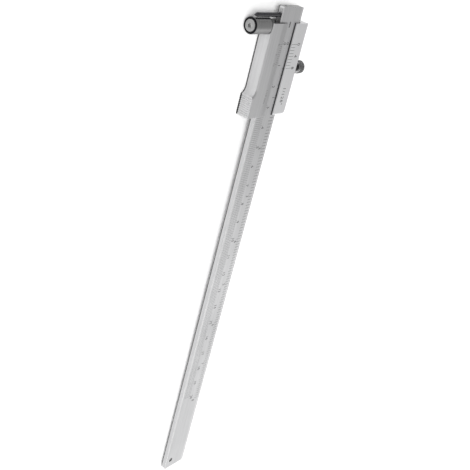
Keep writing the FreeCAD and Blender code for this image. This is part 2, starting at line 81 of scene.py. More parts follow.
class Tree:
    """A node tree with short ways to add, wire and set nodes."""

    def __init__(self, tree: bpy.types.NodeTree) -> None:
        """Wrap a node tree."""
        self.tree = tree

    def add(self, kind: str, **settings: object) -> bpy.types.Node:
        """Add a node and set its properties.

        Args:
            kind: Blender's identifier of the node.
            settings: Properties to set on the node.

        Returns:
            The new node.
        """
        node = self.tree.nodes.new(kind)
        for name, setting in settings.items():
            setattr(node, name, setting)
        return node

    def wire(self, source: bpy.types.NodeSocket, target: bpy.types.NodeSocket) -> None:
        """Join an output to an input."""
        self.tree.links.new(source, target)

    def feed(self, target: bpy.types.NodeSocket, entry: object) -> None:
        """Give an input either a link or a plain value.

        Args:
            target: The input to fill.
            entry: An output socket, or a value.
        """
        if isinstance(entry, bpy.types.NodeSocket):
            self.wire(entry, target)
        else:
            target.default_value = entry

    def maths(self, operation: str, *entries: object, clamp: bool = False) -> bpy.types.NodeSocket:
        """Add a Math node.

        Args:
            operation: The node's operation.
            entries: Outputs or numbers for its inputs.
            clamp: Whether the result stays between 0 and 1.

        Returns:
            The node's result.
        """
        node = self.add("ShaderNodeMath", operation=operation, use_clamp=clamp)
        for number, entry in enumerate(entries):
            self.feed(node.inputs[number], entry)
        return node.outputs[0]

    def stretch(self, low: float, high: float, entry: bpy.types.NodeSocket,
                to_low: float, to_high: float) -> bpy.types.NodeSocket:
        """Map a range of values onto another, with both ends held.

        Args:
            low: Start of the incoming range.
            high: End of the incoming range.
            entry: The incoming value.
            to_low: What the start becomes.
            to_high: What the end becomes.

        Returns:
            The mapped value.
        """
        node = self.add("ShaderNodeMapRange", clamp=True)
        for name, number in (("From Min", low), ("From Max", high),
                             ("To Min", to_low), ("To Max", to_high)):
            node.inputs[name].default_value = number
        self.wire(entry, node.inputs["Value"])
        return node.outputs["Result"]

    def ramp(self, entry: bpy.types.NodeSocket, top: float,
             *stops: tuple[float, float]) -> bpy.types.NodeSocket:
        """Turn a value into another along a row of straight runs.

        Args:
            entry: The incoming value, from -1 to 1.
            top: The largest value that comes out.
            stops: Pairs of an incoming and an outgoing value.

        Returns:
            The outgoing value.
        """
        node = self.add("ShaderNodeValToRGB")
        elements = node.color_ramp.elements
        while len(elements) < len(stops):
            elements.new(0.5)
        for element, (position, result) in zip(elements, stops):
            element.position = (position + 1.0) / 2.0
            element.color = (*(3 * (result / top,)), 1.0)
        self.wire(self.maths("MULTIPLY_ADD", entry, 0.5, 0.5), node.inputs[0])
        return self.maths("MULTIPLY", node.outputs[0], top)

    def split(self, entry: bpy.types.NodeSocket) -> bpy.types.Node:
        """Take a vector apart into X, Y and Z."""
        node = self.add("ShaderNodeSeparateXYZ")
        self.wire(entry, node.inputs[0])
        return node

    def combined(self, **parts: object) -> bpy.types.NodeSocket:
        """Build a vector from entries for X, Y and Z."""
        node = self.add("ShaderNodeCombineXYZ")
        for axis, entry in parts.items():
            self.feed(node.inputs[axis], entry)
        return node.outputs[0]

    def vectors(self, operation: str, *entries: object) -> bpy.types.Node:
        """Add a Vector Math node.

        Args:
            operation: The node's operation.
            entries: Outputs or vectors for its inputs.

        Returns:
            The node.
        """
        node = self.add("ShaderNodeVectorMath", operation=operation)
        for number, entry in enumerate(entries):
            self.feed(node.inputs[number], entry)
        return node

    def scaled(self, entry: bpy.types.NodeSocket,
               factor: bpy.types.NodeSocket) -> bpy.types.NodeSocket:
        """Multiply a vector by one number."""
        node = self.vectors("SCALE", entry)
        self.wire(factor, node.inputs["Scale"])
        return node.outputs[0]

    def from_axis(self, entry: bpy.types.NodeSocket) -> bpy.types.NodeSocket:
        """Measure how far a position lies from the axis along Y."""
        parts = self.split(entry)
        across = self.maths("POWER", parts.outputs["X"], 2.0)
        upwards = self.maths("POWER", parts.outputs["Z"], 2.0)
        return self.maths("SQRT", self.maths("ADD", across, upwards))

    def noise(self, entry: bpy.types.NodeSocket, scale: object, detail: float = 2.0,
              roughness: float = 0.5) -> bpy.types.Node:
        """Add a Noise Texture.

        Args:
            entry: The position that it reads.
            scale: Its scale, as a number or an output.
            detail: How many finer layers it has.
            roughness: How strong the finer layers are.

        Returns:
            The node.
        """
        node = self.add("ShaderNodeTexNoise")
        self.wire(entry, node.inputs["Vector"])
        self.feed(node.inputs["Scale"], scale)
        node.inputs["Detail"].default_value = detail
        node.inputs["Roughness"].default_value = roughness
        return node

    def blended(self, share: bpy.types.NodeSocket, below: object,
                above: object) -> bpy.types.NodeSocket:
        """Mix two colours.

        Args:
            share: How much of the second colour shows.
            below: The first colour, or an output that carries it.
            above: The second colour, or an output that carries it.

        Returns:
            The mixed colour.
        """
        node = self.add("ShaderNodeMix", data_type="RGBA")
        self.wire(share, node.inputs["Factor"])
        for socket, entry in ((node.inputs[6], below), (node.inputs[7], above)):
            self.feed(socket, (*entry, 1.0) if isinstance(entry, tuple) else entry)
        return node.outputs[2]

    def bumped(self, height: bpy.types.NodeSocket, strength: float, depth: float) -> bpy.types.Node:
        """Add a Bump node.

        Args:
            height: The height that it reads.
            strength: Its strength.
            depth: Height of the bumps in mm.

        Returns:
            The node.
        """
        node = self.add("ShaderNodeBump")
        node.inputs["Strength"].default_value = strength
        node.inputs["Distance"].default_value = depth * MM
        self.wire(height, node.inputs["Height"])
        return node


def new_group(name: str, kind: str, inputs: tuple[Socket, ...],
              outputs: tuple[Socket, ...]) -> tuple[Tree, bpy.types.Node, bpy.types.Node]:
    """Start a node group with named sockets.

    Args:
        name: The group's name.
        kind: ShaderNodeTree or GeometryNodeTree.
        inputs: Its inputs.
        outputs: Its outputs.

    Returns:
        The tree, its input node and its output node.
    """
    group = bpy.data.node_groups.new(name, kind)
    for direction, sockets in (("INPUT", inputs), ("OUTPUT", outputs)):
        for socket in sockets:
            made = group.interface.new_socket(
                socket.name, in_out=direction, socket_type="NodeSocket" + socket.kind)
            if socket.default is not None:
                made.default_value = socket.default
    tree = Tree(group)
    return tree, tree.add("NodeGroupInput"), tree.add("NodeGroupOutput")


def new_material(name: str) -> tuple[bpy.types.Material, Tree, bpy.types.Node]:
    """Start a material.

    Args:
        name: The material's name.

    Returns:
        The material, its tree and its Principled surface.
    """
    material = bpy.data.materials.new(name)
    material.use_nodes = True
    return material, Tree(material.node_tree), material.node_tree.nodes["Principled BSDF"]


class SurfaceEffects:
    """Shader groups that several finishes share."""

    GROUND_SCALE = (60.0, 4200.0, 4200.0)
    COARSE_SCALE = 0.22
    COARSE_SHARE = 0.45
    TURNED_SCALE = 5200.0
    RING_WOBBLE = 0.7
    WEAR_SCALE = 260.0
    BEND_SCALE = 90.0
    BEND_REACH = 0.02
    SCUFF_SCALE = 140.0
    SCUFF_WIDTH = 0.012

    def __init__(self) -> None:
        """Build every group once."""
        self.grain = {
            Grain.LENGTHWISE: self.lengthwise_grain(),
            Grain.TURNED: self.turned_grain(),
        }
        self.wear = self.edge_wear()
        self.handling = self.handling_marks()

    def lengthwise_grain(self) -> bpy.types.NodeTree:
        """Build the fine lines that grinding leaves along a flat bar.

        Returns:
            A group with the outputs Lines and Height.
        """
        tree, start, end = new_group(
            "lengthwise_grain", "ShaderNodeTree",
            (Socket("Position", "Vector"), Socket("Fineness", "Float", 1.0)),
            (Socket("Lines", "Float"), Socket("Height", "Float")))
        drawn = tree.vectors("MULTIPLY", start.outputs["Position"], self.GROUND_SCALE).outputs[0]
        sized = tree.scaled(drawn, start.outputs["Fineness"])
        fine = tree.noise(sized, 1.0, 3.0, 0.6)
        coarse = tree.noise(sized, self.COARSE_SCALE)
        both = tree.maths("MULTIPLY_ADD", coarse.outputs["Fac"], self.COARSE_SHARE,
                          tree.maths("MULTIPLY", fine.outputs["Fac"], 1.0 - self.COARSE_SHARE))
        tree.wire(tree.stretch(0.36, 0.64, both, 0.0, 1.0), end.inputs["Lines"])
        tree.wire(both, end.inputs["Height"])
        return tree.tree

    def turned_grain(self) -> bpy.types.NodeTree:
        """Build the rings that a lathe leaves round an axis along Y.

        Returns:
            A group with the outputs Lines and Height.
        """
        tree, start, end = new_group(
            "turned_grain", "ShaderNodeTree",
            (Socket("Position", "Vector"), Socket("Fineness", "Float", 1.0)),
            (Socket("Lines", "Float"), Socket("Height", "Float")))
        parts = tree.split(start.outputs["Position"])
        radius = tree.from_axis(start.outputs["Position"])
        angle = tree.maths("ARCTAN2", parts.outputs["Z"], parts.outputs["X"])
        turned = tree.combined(
            X=tree.maths("MULTIPLY", radius, self.TURNED_SCALE),
            Y=tree.maths("MULTIPLY", parts.outputs["Y"], self.TURNED_SCALE),
            Z=tree.maths("MULTIPLY", tree.maths("COSINE", angle), self.RING_WOBBLE))
        noise = tree.noise(tree.scaled(turned, start.outputs["Fineness"]), 1.0, 3.0)
        tree.wire(tree.stretch(0.34, 0.66, noise.outputs["Fac"], 0.0, 1.0), end.inputs["Lines"])
        tree.wire(noise.outputs["Fac"], end.inputs["Height"])
        return tree.tree

    def edge_wear(self) -> bpy.types.NodeTree:
        """Build a mask that is bright where edges are rubbed; the bright edges double as painted
        glints.

        Returns:
            A group with the outputs Mask and Soft Normal.
        """
        tree, start, end = new_group(
            "edge_wear", "ShaderNodeTree",
            (Socket("Position", "Vector"), Socket("Breaks", "Float", 0.5),
             Socket("Radius", "Float", 0.22 * MM)),
            (Socket("Mask", "Float"), Socket("Soft Normal", "Vector")))
        bevel = tree.add("ShaderNodeBevel", samples=6)
        tree.wire(start.outputs["Radius"], bevel.inputs["Radius"])
        shape = tree.add("ShaderNodeNewGeometry")
        alike = tree.vectors("DOT_PRODUCT", bevel.outputs[0], shape.outputs["Normal"])
        edge = tree.stretch(0.9, 0.995, alike.outputs["Value"], 1.0, 0.0)
        patches = tree.noise(start.outputs["Position"], self.WEAR_SCALE, 4.0)
        worn = tree.stretch(0.35, 0.65, patches.outputs["Fac"], 0.0, 1.0)
        kept = tree.maths("MULTIPLY_ADD", worn, start.outputs["Breaks"],
                          tree.maths("SUBTRACT", 1.0, start.outputs["Breaks"]))
        tree.wire(tree.maths("MULTIPLY", edge, kept, clamp=True), end.inputs["Mask"])
        tree.wire(bevel.outputs[0], end.inputs["Soft Normal"])
        return tree.tree

    def handling_marks(self) -> bpy.types.NodeTree:
        """Build the faint clouding and fine scuffs of a tool in use.

        Returns:
            A group with the outputs Clouds and Scuffs.
        """
        tree, start, end = new_group(
            "handling_marks", "ShaderNodeTree",
            (Socket("Position", "Vector"), Socket("Scale", "Float", 60.0)),
            (Socket("Clouds", "Float"), Socket("Scuffs", "Float")))
        clouds = tree.noise(start.outputs["Position"], start.outputs["Scale"], 3.0)
        clouds.inputs["Distortion"].default_value = 0.4
        tree.wire(tree.stretch(0.3, 0.7, clouds.outputs["Fac"], 0.0, 1.0), end.inputs["Clouds"])
        cells = tree.add("ShaderNodeTexVoronoi", feature="DISTANCE_TO_EDGE")
        cells.inputs["Scale"].default_value = self.SCUFF_SCALE
        bend = tree.noise(start.outputs["Position"], self.BEND_SCALE)
        moved = tree.vectors("MULTIPLY_ADD", bend.outputs["Color"], 3 * (self.BEND_REACH,),
                             start.outputs["Position"])
        tree.wire(moved.outputs[0], cells.inputs["Vector"])
        line = tree.stretch(0.0, self.SCUFF_WIDTH, cells.outputs["Distance"], 1.0, 0.0)
        rare = tree.stretch(0.58, 0.72, clouds.outputs["Fac"], 0.0, 1.0)
        tree.wire(tree.maths("MULTIPLY", line, rare), end.inputs["Scuffs"])
        return tree.tree


@dataclass(frozen=True)
class SteelFinish:
    """Bare metal with machining lines, rubbed edges and handling marks, plus painted shade and
    highlights in chosen places.

    Lengths are in mm, and a mark whose place is None is left out.
    """

    name: str
    tone: Triple
    shade: Triple
    roughness: tuple[float, float]
    grain: Grain = Grain.LENGTHWISE
    fineness: float = 1.0
    grain_height: float = 0.004
    grain_strength: float = 0.35
    clouding: float = 0.35
    centre: Triple = (0.0, 0.0, 0.0)
    edge_tone: Triple = (0.86, 0.86, 0.87)
    edge_share: float = 0.5
    edge_radius: float = 0.2
    edge_breaks: float = 0.5
    # end_tone darkens the end faces across X: painted shade.
    end_tone: float = 1.0
    strip_from: float | None = None
    strip_share: float = 0.55
    wall_at: float | None = None
    # The wall beside the window gets a painted highlight, and its foot painted shade.
    wall_tone: Triple = (0.93, 0.93, 0.94)
    foot_below: float = 6.57
    foot_tone: Triple = (0.01, 0.01, 0.011)
    # Painted shade along the lower edge of the sides.
    grime_below: float | None = None
    grime_tone: Triple = (0.1, 0.1, 0.1)
    ridge: float | None = None
    # A painted highlight on the ridge and painted shade on the bevel beside it.
    ridge_share: float = 0.75
    bevel_share: float = 0.85
    # A painted highlight on the inner face of a turned head.
    face_tone: Triple | None = None
    socket_radius: float | None = None
    # socket_tone lifts the shade inside the axle's socket: painted light.
    socket_tone: Triple = (0.5, 0.5, 0.5)
    neck_radius: float | None = None
    neck_end: float = 15.7
    # Painted shade on the screw's neck.
    neck_tone: Triple = (0.03, 0.03, 0.03)
    # Near-black ends: partly a dark rim, partly painted shade.
    black_ends: tuple[float, float] | None = None
    black_tone: Triple = (0.012, 0.012, 0.014)

    def build(self, effects: SurfaceEffects) -> bpy.types.Material:
        """Make the material.

        Args:
            effects: The shader groups to place in it.

        Returns:
            The finished material.
        """
        material, tree, surface = new_material(self.name)
        surface.inputs["Metallic"].default_value = 1.0
        place = tree.add("ShaderNodeTexCoord")
        centred = tree.add("ShaderNodeMapping")
        centred.inputs["Location"].default_value = tuple(-MM * c for c in self.centre)
        tree.wire(place.outputs["Object"], centred.inputs["Vector"])
        spot = centred.outputs[0]

        lines = self.placed(tree, effects.grain[self.grain], spot, Fineness=self.fineness)
        wear = self.placed(tree, effects.wear, spot, Radius=self.edge_radius * MM,
                           Breaks=self.edge_breaks)
        marks = self.placed(tree, effects.handling, spot)

        cloud = tree.maths("MULTIPLY", marks.outputs["Clouds"], self.clouding)
        # Rubbed edges are laid in a light tone that also stands for painted glints along the edges.
        rubbed_and_glint = tree.maths("MULTIPLY", wear.outputs["Mask"], self.edge_share)
        colour = tree.blended(lines.outputs["Lines"], self.shade, self.tone)
        colour = tree.blended(cloud, colour, self.shade)
        colour = tree.blended(rubbed_and_glint, colour, self.edge_tone)
        for mask, tone in self.toned_places(tree, place, spot):
            colour = tree.blended(mask, colour, tone)
        tree.wire(colour, surface.inputs["Base Color"])

        smooth, coarse = self.roughness
        rough = tree.stretch(0.0, 1.0, lines.outputs["Lines"], coarse, smooth)
        for output, share in ((marks.outputs["Clouds"], 0.06), (marks.outputs["Scuffs"], 0.12),
                              (wear.outputs["Mask"], -0.08)):
            rough = tree.maths("MULTIPLY_ADD", output, share, rough)
        tree.wire(rough, surface.inputs["Roughness"])

        bump = tree.bumped(lines.outputs["Height"], self.grain_strength, self.grain_height)
        tree.wire(wear.outputs["Soft Normal"], bump.inputs["Normal"])
        tree.wire(bump.outputs[0], surface.inputs["Normal"])
        return material

    def placed(self, tree: Tree, group: bpy.types.NodeTree, spot: bpy.types.NodeSocket,
               **settings: float) -> bpy.types.Node:
        """Put a shader group in the material.

        Args:
            tree: The material's tree.
            group: The group to place.
            spot: The position it reads.
            settings: Values for its other inputs.

        Returns:
            The group node.
        """
        node = tree.add("ShaderNodeGroup", node_tree=group)
        tree.wire(spot, node.inputs["Position"])
        for name, setting in settings.items():
            node.inputs[name].default_value = setting
        return node

    def toned_places(self, tree: Tree, place: bpy.types.Node,
                     spot: bpy.types.NodeSocket) -> list[tuple[bpy.types.NodeSocket, object]]:
        """Find the places with a tone of their own, each laid over the ones before. Most are
        painted shade or painted highlights.

        Args:
            tree: The material's tree.
            place: The node that gives object coordinates.
            spot: The position from the finish's centre.

        Returns:
            Pairs of a mask and its tone.
        """
        found = []
        # End faces are darkened as painted shade.
        if self.end_tone < 1.0:
            shaded_end = tuple(c * self.end_tone for c in self.shade)
            found.append((self.end_faces(tree, place), shaded_end))
        if self.strip_from is not None:
            found.append((self.strip_mask(tree, place), self.edge_tone))
        # Painted highlight on the wall beside the window, painted shade at its foot.
        if self.wall_at is not None:
            wall, foot = self.wall_masks(tree, place)
            found += [(wall, self.wall_tone), (foot, self.foot_tone)]
        # Painted shade along the lower edges.
        if self.grime_below is not None:
            found.append((self.grime_mask(tree, place), self.grime_tone))
        # Painted shade on the bevel, painted highlight on the ridge.
        if self.ridge is not None:
            line, band = self.ridge_masks(tree, place)
            found += [(band, self.shade), (line, self.edge_tone)]
        # Painted highlight on the head's inner face.
        if self.face_tone is not None:
            found.append((self.inner_face(tree, place), self.face_tone))
        # Painted light in the socket, against the shade of its recess.
        if self.socket_radius is not None:
            found.append((self.core_mask(tree, spot, self.socket_radius), self.socket_tone))
        # Painted shade on the neck under the screw head.
        if self.neck_radius is not None:
            found.append((self.neck_mask(tree, spot), self.neck_tone))
        # Dark roller ends, partly painted shade of the gaps.
        if self.black_ends is not None:
            found.append((self.end_mask(tree, place), self.black_tone))
        return found

    def end_mask(self, tree: Tree, place: bpy.types.Node) -> bpy.types.NodeSocket:
        """Pick out both ends of a sleeve that lies along Y, laid near black: partly a dark rim,
        partly painted shade of the gaps at its ends.

        Args:
            tree: The material's tree.
            place: The node that gives object coordinates.

        Returns:
            A mask, 1 at the ends.
        """
        parts = tree.split(place.outputs["Object"])
        near, far = (MM * y for y in self.black_ends)
        middle = tree.maths("SUBTRACT", parts.outputs["Y"], (near + far) / 2)
        half = abs(far - near) / 2
        return tree.stretch(half - 0.5 * MM, half - 0.3 * MM, tree.maths("ABSOLUTE", middle),
                            0.0, 1.0)

    def end_faces(self, tree: Tree, place: bpy.types.Node) -> bpy.types.NodeSocket:
        """Pick out the end faces across the beam's direction, which get painted shade."""
        facing = tree.split(place.outputs["Normal"])
        return tree.stretch(0.85, 0.97, tree.maths("ABSOLUTE", facing.outputs["X"]), 0.0, 1.0)

    def strip_mask(self, tree: Tree, place: bpy.types.Node) -> bpy.types.NodeSocket:
        """Pick out the freshly ground strip beside the window."""
        start = self.strip_from * MM
        parts = tree.split(place.outputs["Object"])
        return tree.stretch(start, start + 0.1 * MM, parts.outputs["Y"], 0.0, self.strip_share)

    def grime_mask(self, tree: Tree, place: bpy.types.Node) -> bpy.types.NodeSocket:
        """Pick out the lower edge of the sides, which gets painted shade.

        Args:
            tree: The material's tree.
            place: The node that gives object coordinates.

        Returns:
            A mask, 1 along that edge.
        """
        parts = tree.split(place.outputs["Object"])
        low = tree.stretch((self.grime_below - 0.25) * MM, self.grime_below * MM,
                           parts.outputs["Z"], 1.0, 0.0)
        facing = tree.split(place.outputs["Normal"])
        side = tree.stretch(-0.8, -0.4, facing.outputs["Z"], 0.0, 1.0)
        return tree.maths("MULTIPLY", low, side)

    def ridge_masks(self, tree: Tree,
                    place: bpy.types.Node) -> tuple[bpy.types.NodeSocket, bpy.types.NodeSocket]:
        """Pick out the ridge beside the beam's bevel for a painted highlight, and the bevel for
        painted shade.

        Args:
            tree: The material's tree.
            place: The node that gives object coordinates.

        Returns:
            A mask for the ridge, and one for the bevel.
        """
        parts = tree.split(place.outputs["Object"])
        past = tree.maths("SUBTRACT", parts.outputs["Y"], self.ridge * MM)
        line = tree.stretch(0.12 * MM, 0.26 * MM, tree.maths("ABSOLUTE", past),
                            self.ridge_share, 0.0)
        band = tree.stretch(0.0, 0.1 * MM, past, 0.0, self.bevel_share)
        return line, band

    def core_mask(self, tree: Tree, spot: bpy.types.NodeSocket,
                  rim: float) -> bpy.types.NodeSocket:
        """Pick out what lies nearer to a screw's axis than the rim."""
        return tree.stretch(rim * MM, (rim + 0.05) * MM, tree.from_axis(spot), 1.0, 0.0)

    def neck_mask(self, tree: Tree, spot: bpy.types.NodeSocket) -> bpy.types.NodeSocket:
        """Pick out the screw's neck between its head and the slider, which gets painted shade."""
        inner = tree.stretch((self.neck_end - 0.05) * MM, self.neck_end * MM,
                             tree.split(spot).outputs["Y"], 1.0, 0.0)
        return tree.maths("MULTIPLY", inner, self.core_mask(tree, spot, self.neck_radius))

    def inner_face(self, tree: Tree, place: bpy.types.Node) -> bpy.types.NodeSocket:
        """Pick out the faced end of a turned head that looks to the slider, which gets a painted
        highlight.
        """
        facing = tree.split(place.outputs["Normal"])
        return tree.stretch(-0.98, -0.9, facing.outputs["Y"], 1.0, 0.0)

    def wall_masks(self, tree: Tree,
                   place: bpy.types.Node) -> tuple[bpy.types.NodeSocket, bpy.types.NodeSocket]:
        """Pick out the wall beside the window for a painted highlight, and its foot for painted
        shade.

        Args:
            tree: The material's tree.
            place: The node that gives object coordinates.

        Returns:
            A mask that is 1 on the wall that faces -Y, and one for its foot.
        """
        parts = tree.split(place.outputs["Object"])
        away = tree.maths("ABSOLUTE", tree.maths("SUBTRACT", parts.outputs["Y"],
                                                 self.wall_at * MM))
        near = tree.stretch(0.02 * MM, 0.06 * MM, away, 1.0, 0.0)
        facing = tree.split(place.outputs["Normal"])
        wall = tree.stretch(-0.9, -0.7, facing.outputs["Y"], 1.0, 0.0)
        low = tree.stretch(self.foot_below * MM, (self.foot_below + 0.1) * MM,
                           parts.outputs["Z"], 1.0, 0.0)
        whole = tree.maths("MULTIPLY", near, wall)
        return whole, tree.maths("MULTIPLY", whole, low)


@dataclass(frozen=True)
class FillFinish:
    """The dark fill of an engraved line or figure."""

    name: str
    tone: Triple
    shade: Triple
    speckle: float = 2600.0
    relief: float = 0.01

    def build(self) -> bpy.types.Material:
        """Make the material."""
        material, tree, surface = new_material(self.name)
        surface.inputs["Metallic"].default_value = 0.0
        surface.inputs["Specular IOR Level"].default_value = 0.3
        place = tree.add("ShaderNodeTexCoord")
        noise = tree.noise(place.outputs["Object"], self.speckle, 4.0).outputs["Fac"]
        share = tree.stretch(0.35, 0.7, noise, 0.0, 1.0)
        tree.wire(tree.blended(share, self.tone, self.shade), surface.inputs["Base Color"])
        rough = tree.stretch(0.3, 0.7, noise, 0.55, 0.8)
        tree.wire(rough, surface.inputs["Roughness"])
        bump = tree.bumped(noise, 0.4, self.relief)
        tree.wire(bump.outputs[0], surface.inputs["Normal"])
        return material


@dataclass(frozen=True)
class TableFinish:
    """The white table top."""

    name: str = "white_table"
    tone: Triple = (0.95, 0.95, 0.95)
    cloud: float = 0.985
    cloud_scale: float = 40.0
    glow: float = 0.05

    def build(self) -> bpy.types.Material:
        """Make the material."""
        material, tree, surface = new_material(self.name)
        surface.inputs["Roughness"].default_value = 0.9
        surface.inputs["Specular IOR Level"].default_value = 0.1
        surface.inputs["Emission Color"].default_value = (1.0, 1.0, 1.0, 1.0)
        surface.inputs["Emission Strength"].default_value = self.glow
        place = tree.add("ShaderNodeTexCoord")
        noise = tree.noise(place.outputs["Object"], self.cloud_scale)
        clouded = tuple(self.cloud * c for c in self.tone)
        colour = tree.blended(noise.outputs["Fac"], self.tone, clouded)
        tree.wire(colour, surface.inputs["Base Color"])
        return material


class Finishes:
    """Every material of the gauge."""

    def __init__(self, effects: SurfaceEffects) -> None:
        """Build all finishes.

        Args:
            effects: The shader groups that they share.
        """
        roller_axis = (-19.9, 0.0, 3.85)
        lock_axis = (-0.45, 0.0, 4.75)
        needle_axis = (-24.825, 0.0, 4.75)
        # Beam: painted shade on its ends, lower edge and bevel; painted highlight on the ridge and
        # a strong edge glint.
        self.beam = SteelFinish(
            "ground_beam_steel", (0.56, 0.56, 0.565), (0.48, 0.48, 0.485),
            (0.26, 0.36), end_tone=0.3, grime_below=3.9, grime_tone=(0.02, 0.02, 0.02),
            edge_tone=(0.96, 0.96, 0.96), edge_share=0.9, edge_radius=0.35, edge_breaks=0.3,
            ridge=6.2).build(effects)
        # Slider: painted shade on its ends, lower edge and the wall's foot; painted highlight on
        # the wall.
        self.slider = SteelFinish(
            "ground_slider_steel", (0.56, 0.56, 0.565), (0.48, 0.48, 0.485),
            (0.28, 0.38), fineness=0.8, end_tone=0.04, wall_at=3.9,
            strip_from=3.85, grime_below=1.0, grime_tone=(0.05, 0.05, 0.05)).build(effects)
        # Roller: ends laid near black, partly painted shade.
        self.roller = SteelFinish(
            "roller_steel", (0.31, 0.31, 0.31), (0.25, 0.25, 0.25), (0.24, 0.34),
            grain=Grain.TURNED, centre=roller_axis, black_ends=(-24.95, -13.7),
            edge_share=0.2).build(effects)
        # Axle: painted light inside the socket.
        self.axle = SteelFinish(
            "axle_steel", (0.34, 0.34, 0.34), (0.28, 0.28, 0.28), (0.26, 0.36),
            grain=Grain.TURNED, centre=roller_axis, socket_radius=1.1).build(effects)
        # Screws: painted highlight on the head's inner face, painted shade on the neck.
        self.screw = SteelFinish(
            "screw_steel", (0.16, 0.16, 0.16), (0.1, 0.1, 0.1), (0.26, 0.38),
            grain=Grain.TURNED, centre=lock_axis, face_tone=(0.97, 0.97, 0.97),
            neck_radius=2.1).build(effects)
        self.needle = SteelFinish(
            "dark_needle_steel", (0.1, 0.1, 0.105), (0.05, 0.05, 0.055), (0.18, 0.28),
            grain=Grain.TURNED, centre=needle_axis, edge_tone=(0.3, 0.3, 0.3),
            edge_share=0.3).build(effects)
        self.bronze = SteelFinish(
            "bearing_bronze", (0.62, 0.42, 0.2), (0.5, 0.33, 0.15), (0.3, 0.42),
            grain=Grain.TURNED, centre=roller_axis,
            edge_tone=(0.75, 0.55, 0.32)).build(effects)
        self.fill = FillFinish("engraving_fill", (0.035, 0.035, 0.037), (0.09, 0.09, 0.09)).build()
        self.worn_fill = FillFinish("worn_fill", (0.17, 0.17, 0.17), (0.3, 0.3, 0.3)).build()

    def dress(self) -> None:
        """Give every piece of the frame its finish."""
        pairs = {
            "beam": self.beam,
            "slider": self.slider,
            "guide_roller": self.roller,
            "roller_axle": self.axle,
            "roller_washer": self.axle,
            "lock_screw": self.screw,
            "stop_screw": self.screw,
            "needle_screw": self.screw,
            "gib_screws": self.screw,
            "scriber_needle": self.needle,
            "roller_bushes": self.bronze,
            "gib_strip": self.bronze,
        }
        for node, material in pairs.items():
            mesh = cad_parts[node].data
            mesh.materials.clear()
            mesh.materials.append(material)
            log.info("finish %s on %s", material.name, node)


class MarkTree:
    """Geometry nodes that engrave a row of evenly spaced lines."""

    INPUTS = (
        Socket("Geometry", "Geometry"),
        Socket("Count", "Int"),
        Socket("Pitch", "Float"),
        Socket("Start", "Vector"),
        Socket("Tilt", "Float"),
        Socket("Side", "Float"),
        Socket("Width", "Float"),
        Socket("Depth", "Float"),
        Socket("Short", "Float"),
        Socket("Step", "Float"),
        Socket("First Every", "Float"),
        Socket("Second Every", "Float"),
        Socket("Third Every", "Float"),
        Socket("Fill", "Material"),
    )

    def __init__(self) -> None:
        """Build the tree once."""
        tree, start, end = new_group(
            "engraved_marks", "GeometryNodeTree", self.INPUTS, (Socket("Geometry", "Geometry"),))
        points = tree.add("GeometryNodeMeshLine", mode="OFFSET", count_mode="TOTAL")
        tree.wire(start.outputs["Count"], points.inputs["Count"])
        tree.wire(start.outputs["Start"], points.inputs["Start Location"])
        tree.wire(tree.combined(X=start.outputs["Pitch"]), points.inputs["Offset"])
        bar = tree.add("GeometryNodeMeshCube")
        aside = tree.combined(Y=tree.maths("MULTIPLY", start.outputs["Side"], 0.5))
        hung = tree.add("GeometryNodeTransform")
        tree.wire(bar.outputs["Mesh"], hung.inputs["Geometry"])
        tree.wire(aside, hung.inputs["Translation"])
        index = tree.add("GeometryNodeInputIndex").outputs[0]
        length = start.outputs["Short"]
        for level in ("First Every", "Second Every", "Third Every"):
            rest = tree.maths("MODULO", index, start.outputs[level])
            hit = tree.maths("LESS_THAN", rest, 0.5)
            length = tree.maths("MULTIPLY_ADD", hit, start.outputs["Step"], length)
        size = tree.combined(X=start.outputs["Width"], Y=length, Z=start.outputs["Depth"])
        marks = tree.add("GeometryNodeInstanceOnPoints")
        tree.wire(points.outputs[0], marks.inputs["Points"])
        tree.wire(hung.outputs[0], marks.inputs["Instance"])
        tree.wire(tree.combined(X=start.outputs["Tilt"]), marks.inputs["Rotation"])
        tree.wire(size, marks.inputs["Scale"])
        real = tree.add("GeometryNodeRealizeInstances")
        tree.wire(marks.outputs[0], real.inputs[0])
        filled = tree.add("GeometryNodeSetMaterial")
        tree.wire(real.outputs[0], filled.inputs["Geometry"])
        tree.wire(start.outputs["Fill"], filled.inputs["Material"])
        tree.wire(filled.outputs[0], end.inputs["Geometry"])
        self.tree = tree.tree


def plain_object(name: str, mesh: bpy.types.Mesh) -> bpy.types.Object:
    """Put a mesh in the scene at the origin.

    Args:
        name: The object's name.
        mesh: Its mesh.

    Returns:
        The new object.
    """
    made = bpy.data.objects.new(name, mesh)
    bpy.context.scene.collection.objects.link(made)
    return made


def from_nodes(name: str, group: bpy.types.NodeTree, entries: dict[str, object]) -> bpy.types.Mesh:
    """Run a geometry tree and keep its result as a plain mesh.

    Args:
        name: Name of the mesh.
        group: The tree to run.
        entries: Value of each named input.

    Returns:
        The evaluated mesh.
    """
    seed = bpy.data.meshes.new(name + "_seed")
    carrier = plain_object(name + "_seed", seed)
    modifier = carrier.modifiers.new("rule", "NODES")
    modifier.node_group = group
    for item in group.interface.items_tree:
        if item.in_out == "INPUT" and item.name in entries:
            modifier[item.identifier] = entries[item.name]
    graph = bpy.context.evaluated_depsgraph_get()
    graph.update()
    mesh = bpy.data.meshes.new_from_object(carrier.evaluated_get(graph))
    mesh.name = name
    carrier.modifiers.remove(modifier)
    bpy.data.objects.remove(carrier)
    bpy.data.meshes.remove(seed)
    return mesh


def joined(name: str, meshes: list[bpy.types.Mesh]) -> bpy.types.Object:
    """Join several meshes into one piece.

    Args:
        name: The piece's name.
        meshes: The meshes, all in the frame's coordinates.

    Returns:
        One object with them all.
    """
    parts = [plain_object("%s_%d" % (name, index), mesh) for index, mesh in enumerate(meshes)]
    with bpy.context.temp_override(active_object=parts[0], selected_editable_objects=parts):
        bpy.ops.object.join()
    whole = parts[0]
    whole.name = name
    whole.data.name = name
    return whole


